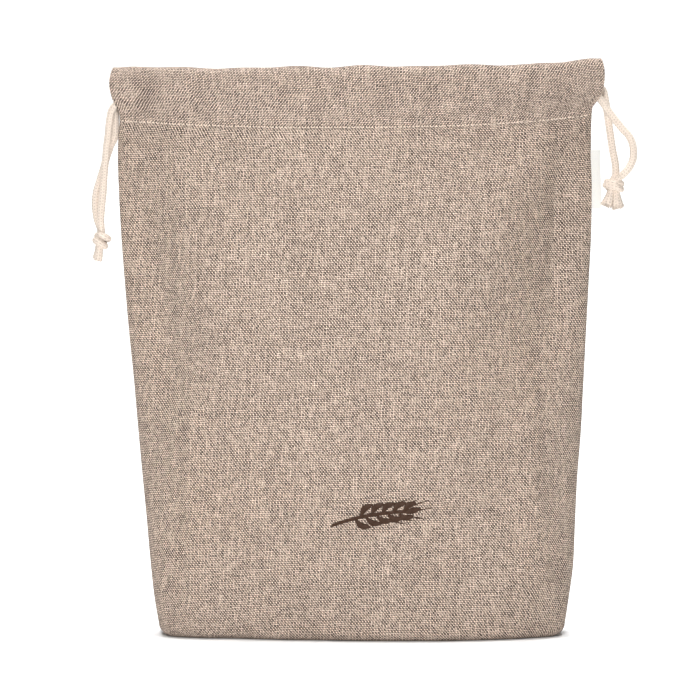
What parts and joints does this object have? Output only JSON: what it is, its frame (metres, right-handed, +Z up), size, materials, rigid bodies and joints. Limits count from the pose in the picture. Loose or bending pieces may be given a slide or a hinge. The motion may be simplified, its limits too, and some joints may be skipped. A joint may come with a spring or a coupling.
{
  "type": "linen bread bag",
  "caption": "Standing drawstring bread bag of natural linen, with a turned casing at the mouth, cotton cords knotted at both sides and a flat bottom.",
  "frame": {"origin": "centre of the bottom, on the surface that the bag stands on", "axes": "+Z up to the mouth, +X from the left tie to the right tie as seen from the front, front face towards -Y"},
  "size_m": [0.3516, 0.0898, 0.3722],
  "materials": {
    "linen": "undyed plain weave, slubby, matte",
    "cotton_cord": "unbleached braided cotton, matte",
    "white_tape": "white woven tape, blank"
  },
  "bodies": {
    "root": {"front_panel": "linen", "back_panel": "linen", "left_cord_run": "cotton_cord", "right_cord_run": "cotton_cord", "left_strand_front": "cotton_cord", "left_strand_back": "cotton_cord", "right_strand_front": "cotton_cord", "right_strand_back": "cotton_cord", "left_knot": "cotton_cord", "right_knot": "cotton_cord", "side_label": "white_tape"}
  },
  "joints": []
}
